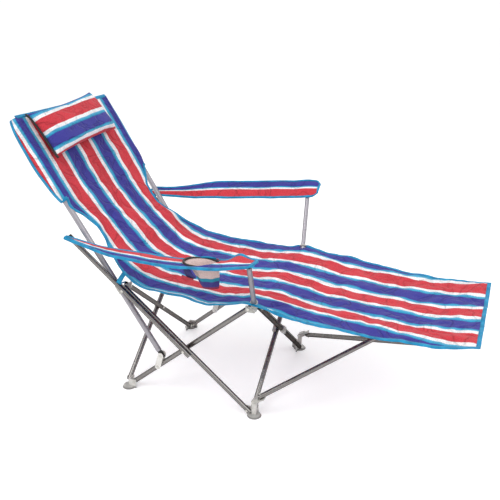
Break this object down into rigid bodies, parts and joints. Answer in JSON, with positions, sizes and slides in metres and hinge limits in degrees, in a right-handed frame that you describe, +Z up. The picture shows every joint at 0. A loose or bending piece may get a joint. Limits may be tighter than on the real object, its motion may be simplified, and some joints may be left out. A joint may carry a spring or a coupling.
{
  "type": "folding camping chair",
  "caption": "Folding camp lounger: crossed-tube steel frame, raked sling back with head pillow, cloth armrests with a cup pocket, and a footrest held out on crossed struts.",
  "frame": {"origin": "on the floor, midway between the four feet", "axes": "+X ahead to the footrest, +Y to the sitter's left, +Z up"},
  "size_m": [1.4493, 0.7981, 0.923],
  "materials": {
    "steel_tube": "satin warm grey powder coat",
    "steel_rivet": "plated",
    "steel_plate": "satin warm grey powder coat",
    "grey_plastic": "moulded, fine grain",
    "foot_plastic": "moulded, fine grain",
    "black_plastic": "moulded, matt",
    "striped_cloth": "woven polyester with lengthwise stripes",
    "pillow_cloth": "woven polyester, stuffed",
    "pocket_cloth": "mesh and cloth pocket",
    "binding_tape": "woven edge tape"
  },
  "bodies": {
    "rear_right_foot": {"rear_right_foot": "foot_plastic"},
    "right_inner_leg": {"right_inner_leg": "steel_tube", "right_inner_leg_rivets": "steel_rivet", "right_pivot_plates": "steel_plate"},
    "right_outer_leg": {"right_outer_leg": "steel_tube", "right_outer_leg_rivets": "steel_rivet", "right_arm_tube": "steel_tube", "right_arm_cap": "black_plastic"},
    "front_right_foot": {"front_right_foot": "foot_plastic"},
    "front_right_hub": {"front_right_hub": "grey_plastic", "right_arm_post": "steel_tube"},
    "rear_right_hub": {"rear_right_hub": "grey_plastic"},
    "right_back_post": {"right_back_post": "steel_tube", "right_post_plug": "black_plastic", "back_upper_panel": "striped_cloth", "back_lower_panel": "striped_cloth", "pillow": "pillow_cloth"},
    "right_back_slider": {"right_back_slider": "grey_plastic"},
    "right_strut_yoke": {"right_strut_yoke": "grey_plastic", "right_yoke_pins": "steel_rivet"},
    "right_footrest_strut": {"right_footrest_strut": "steel_tube"},
    "right_armrest_rear": {"right_armrest_rear": "striped_cloth"},
    "right_armrest_front": {"right_armrest_front": "striped_cloth", "cup_rim": "binding_tape", "cup_pocket": "pocket_cloth"},
    "left_inner_leg": {"left_inner_leg": "steel_tube", "left_inner_leg_rivets": "steel_rivet", "left_pivot_plates": "steel_plate"},
    "left_outer_leg": {"left_outer_leg": "steel_tube", "left_outer_leg_rivets": "steel_rivet", "left_arm_tube": "steel_tube", "left_arm_cap": "black_plastic"},
    "front_left_foot": {"front_left_foot": "foot_plastic"},
    "front_left_hub": {"front_left_hub": "grey_plastic", "left_arm_post": "steel_tube"},
    "rear_left_hub": {"rear_left_hub": "grey_plastic"},
    "left_back_post": {"left_back_post": "steel_tube", "left_post_plug": "black_plastic"},
    "left_back_slider": {"left_back_slider": "grey_plastic"},
    "left_strut_yoke": {"left_strut_yoke": "grey_plastic", "left_yoke_pins": "steel_rivet"},
    "left_footrest_strut": {"left_footrest_strut": "steel_tube"},
    "left_armrest_rear": {"left_armrest_rear": "striped_cloth"},
    "left_armrest_front": {"left_armrest_front": "striped_cloth"},
    "rear_left_foot": {"rear_left_foot": "foot_plastic"},
    "rear_outer_leg": {"rear_outer_leg": "steel_tube", "rear_outer_leg_rivets": "steel_rivet"},
    "rear_inner_leg": {"rear_inner_leg": "steel_tube", "rear_inner_leg_rivets": "steel_rivet"},
    "front_inner_leg": {"front_inner_leg": "steel_tube", "front_inner_leg_rivets": "steel_rivet", "front_inner_clamp": "grey_plastic"},
    "front_outer_leg": {"front_outer_leg": "steel_tube", "front_outer_leg_rivets": "steel_rivet", "front_outer_clamp": "grey_plastic"},
    "seat_rear_panel": {"seat_rear_panel": "striped_cloth"},
    "seat_front_panel": {"seat_front_panel": "striped_cloth"},
    "footrest_inner_panel": {"footrest_inner_panel": "striped_cloth"},
    "footrest_outer_panel": {"footrest_outer_panel": "striped_cloth"}
  },
  "joints": [
    {"name": "fold", "type": "hinge", "parent": "rear_right_foot", "child": "right_inner_leg", "pos_m": [-0.2099, -0.2254, 0.022], "axis": [0, -1, 0], "range_deg": [0, 42], "deforming": ["back_upper_panel", "back_lower_panel", "seat_rear_panel", "seat_front_panel", "footrest_inner_panel", "footrest_outer_panel", "pillow", "cup_pocket", "cup_rim", "right_armrest_rear", "right_armrest_front", "left_armrest_rear", "left_armrest_front"]},
    {"name": "rear_cross", "type": "hinge", "parent": "rear_right_foot", "child": "rear_outer_leg", "pos_m": [-0.2384, -0.2139, 0.022], "axis": [1, 0, 0], "range_deg": [0, 42]},
    {"name": "rear_scissor", "type": "hinge", "parent": "rear_outer_leg", "child": "rear_inner_leg", "pos_m": [-0.2384, -0.004, 0.19812], "axis": [-1, 0, 0], "range_deg": [0, 84]},
    {"name": "rear_left_foot_pivot", "type": "hinge", "parent": "rear_inner_leg", "child": "rear_left_foot", "pos_m": [-0.2214, 0.2059, 0.022], "axis": [1, 0, 0], "range_deg": [0, 42]},
    {"name": "left_fold", "type": "hinge", "parent": "rear_left_foot", "child": "left_inner_leg", "pos_m": [-0.2099, 0.2254, 0.022], "axis": [0, -1, 0], "range_deg": [0, 42]},
    {"name": "right_scissor", "type": "hinge", "parent": "right_inner_leg", "child": "right_outer_leg", "pos_m": [0, -0.2424, 0.19812], "axis": [0, 1, 0], "range_deg": [0, 84]},
    {"name": "front_right_foot_pivot", "type": "hinge", "parent": "right_outer_leg", "child": "front_right_foot", "pos_m": [0.2099, -0.2424, 0.022], "axis": [0, -1, 0], "range_deg": [0, 42]},
    {"name": "front_right_hub_pivot", "type": "hinge", "parent": "right_inner_leg", "child": "front_right_hub", "pos_m": [0.2099, -0.2254, 0.37425], "axis": [0, 1, 0], "range_deg": [0, 42]},
    {"name": "rear_right_hub_pivot", "type": "hinge", "parent": "right_outer_leg", "child": "rear_right_hub", "pos_m": [-0.2099, -0.2424, 0.37425], "axis": [0, -1, 0], "range_deg": [0, 42]},
    {"name": "right_post_pivot", "type": "hinge", "parent": "right_inner_leg", "child": "right_back_post", "pos_m": [-0.1011, -0.2254, 0.14592], "axis": [0, 1, 0], "range_deg": [0, 69.75]},
    {"name": "right_post_slide", "type": "slide", "parent": "right_back_post", "child": "right_back_slider", "axis": [-0.5329, -0.0233, 0.8459], "range_m": [0, 0.11986]},
    {"name": "right_strut_lift", "type": "hinge", "parent": "front_right_foot", "child": "right_strut_yoke", "pos_m": [0.2299, -0.2339, 0.056], "axis": [0, -1, 0], "range_deg": [0, 56]},
    {"name": "right_strut_swing", "type": "hinge", "parent": "right_strut_yoke", "child": "right_footrest_strut", "pos_m": [0.25663, -0.2339, 0.06962], "axis": [0.454, 0, -0.891], "range_deg": [0, 28.5]},
    {"name": "left_scissor", "type": "hinge", "parent": "left_inner_leg", "child": "left_outer_leg", "pos_m": [0, 0.2424, 0.19812], "axis": [0, 1, 0], "range_deg": [0, 84]},
    {"name": "front_left_foot_pivot", "type": "hinge", "parent": "left_outer_leg", "child": "front_left_foot", "pos_m": [0.2099, 0.2424, 0.022], "axis": [0, -1, 0], "range_deg": [0, 42]},
    {"name": "front_left_hub_pivot", "type": "hinge", "parent": "left_inner_leg", "child": "front_left_hub", "pos_m": [0.2099, 0.2254, 0.37425], "axis": [0, 1, 0], "range_deg": [0, 42]},
    {"name": "rear_left_hub_pivot", "type": "hinge", "parent": "left_outer_leg", "child": "rear_left_hub", "pos_m": [-0.2099, 0.2424, 0.37425], "axis": [0, -1, 0], "range_deg": [0, 42]},
    {"name": "left_post_pivot", "type": "hinge", "parent": "left_inner_leg", "child": "left_back_post", "pos_m": [-0.1011, 0.2254, 0.14592], "axis": [0, 1, 0], "range_deg": [0, 69.75]},
    {"name": "left_post_slide", "type": "slide", "parent": "left_back_post", "child": "left_back_slider", "axis": [-0.5329, 0.0233, 0.8459], "range_m": [0, 0.11986]},
    {"name": "left_strut_lift", "type": "hinge", "parent": "front_left_foot", "child": "left_strut_yoke", "pos_m": [0.2299, 0.2339, 0.056], "axis": [0, -1, 0], "range_deg": [0, 56]},
    {"name": "left_strut_swing", "type": "hinge", "parent": "left_strut_yoke", "child": "left_footrest_strut", "pos_m": [0.25663, 0.2339, 0.06962], "axis": [-0.454, 0, 0.891], "range_deg": [0, 28.5]},
    {"name": "front_inner_cross", "type": "hinge", "parent": "front_right_foot", "child": "front_inner_leg", "pos_m": [0.2214, -0.2139, 0.022], "axis": [1, 0, 0], "range_deg": [0, 42]},
    {"name": "front_outer_cross", "type": "hinge", "parent": "front_left_foot", "child": "front_outer_leg", "pos_m": [0.2384, 0.2059, 0.022], "axis": [-1, 0, 0], "range_deg": [0, 42]},
    {"name": "right_armrest_rear_fold", "type": "hinge", "parent": "right_outer_leg", "child": "right_armrest_rear", "pos_m": [-0.39375, -0.2586, 0.52852], "axis": [0, 1, 0], "range_deg": [0, 28.47]},
    {"name": "right_armrest_front_fold", "type": "hinge", "parent": "front_right_hub", "child": "right_armrest_front", "pos_m": [0.25995, -0.35198, 0.56338], "axis": [0, -1, 0], "range_deg": [0, 72.01]},
    {"name": "left_armrest_rear_fold", "type": "hinge", "parent": "left_outer_leg", "child": "left_armrest_rear", "pos_m": [-0.39375, 0.2586, 0.52852], "axis": [0, 1, 0], "range_deg": [0, 36.97]},
    {"name": "left_armrest_front_fold", "type": "hinge", "parent": "front_left_hub", "child": "left_armrest_front", "pos_m": [0.20619, 0.35243, 0.56405], "axis": [0, -1, 0], "range_deg": [0, 87.06]},
    {"name": "seat_rear_fold", "type": "hinge", "parent": "right_back_post", "child": "seat_rear_panel", "pos_m": [-0.1799, 0, 0.42025], "axis": [0, 1, 0], "range_deg": [0, 61.36]},
    {"name": "seat_front_fold", "type": "hinge", "parent": "front_right_hub", "child": "seat_front_panel", "pos_m": [0.2299, 0, 0.40325], "axis": [0, -1, 0], "range_deg": [0, 74.9]},
    {"name": "footrest_inner_fold", "type": "hinge", "parent": "front_right_hub", "child": "footrest_inner_panel", "pos_m": [0.2299, 0, 0.40325], "axis": [0, 1, 0], "range_deg": [0, 73.56]},
    {"name": "footrest_outer_fold", "type": "hinge", "parent": "footrest_inner_panel", "child": "footrest_outer_panel", "pos_m": [0.3999, 0, 0.38125], "axis": [0, -1, 0], "range_deg": [0, 155.83]}
  ],
  "couplings": [
    {"joint": "rear_cross", "follows": "fold", "ratio": 1},
    {"joint": "rear_scissor", "follows": "fold", "ratio": 2},
    {"joint": "rear_left_foot_pivot", "follows": "fold", "ratio": 1},
    {"joint": "left_fold", "follows": "fold", "ratio": 1},
    {"joint": "right_scissor", "follows": "fold", "ratio": 2},
    {"joint": "front_right_foot_pivot", "follows": "fold", "ratio": 1},
    {"joint": "front_right_hub_pivot", "follows": "fold", "ratio": 1},
    {"joint": "rear_right_hub_pivot", "follows": "fold", "ratio": 1},
    {"joint": "right_post_pivot", "follows": "fold", "ratio": 1.6607},
    {"joint": "right_post_slide", "follows": "fold", "m_per_rad": 0.16351},
    {"joint": "right_strut_lift", "follows": "fold", "ratio": 1.3333},
    {"joint": "right_strut_swing", "follows": "fold", "ratio": 0.67863},
    {"joint": "left_scissor", "follows": "fold", "ratio": 2},
    {"joint": "front_left_foot_pivot", "follows": "fold", "ratio": 1},
    {"joint": "front_left_hub_pivot", "follows": "fold", "ratio": 1},
    {"joint": "rear_left_hub_pivot", "follows": "fold", "ratio": 1},
    {"joint": "left_post_pivot", "follows": "fold", "ratio": 1.6607},
    {"joint": "left_post_slide", "follows": "fold", "m_per_rad": 0.16351},
    {"joint": "left_strut_lift", "follows": "fold", "ratio": 1.3333},
    {"joint": "left_strut_swing", "follows": "fold", "ratio": 0.67863},
    {"joint": "front_inner_cross", "follows": "fold", "ratio": 1},
    {"joint": "front_outer_cross", "follows": "fold", "ratio": 1},
    {"joint": "right_armrest_rear_fold", "follows": "fold", "ratio": 0.67774},
    {"joint": "right_armrest_front_fold", "follows": "fold", "ratio": 1.7146},
    {"joint": "left_armrest_rear_fold", "follows": "fold", "ratio": 0.88013},
    {"joint": "left_armrest_front_fold", "follows": "fold", "ratio": 2.0729},
    {"joint": "seat_rear_fold", "follows": "fold", "ratio": 1.4611},
    {"joint": "seat_front_fold", "follows": "fold", "ratio": 1.7834},
    {"joint": "footrest_inner_fold", "follows": "fold", "ratio": 1.7514},
    {"joint": "footrest_outer_fold", "follows": "fold", "ratio": 3.7103}
  ]
}
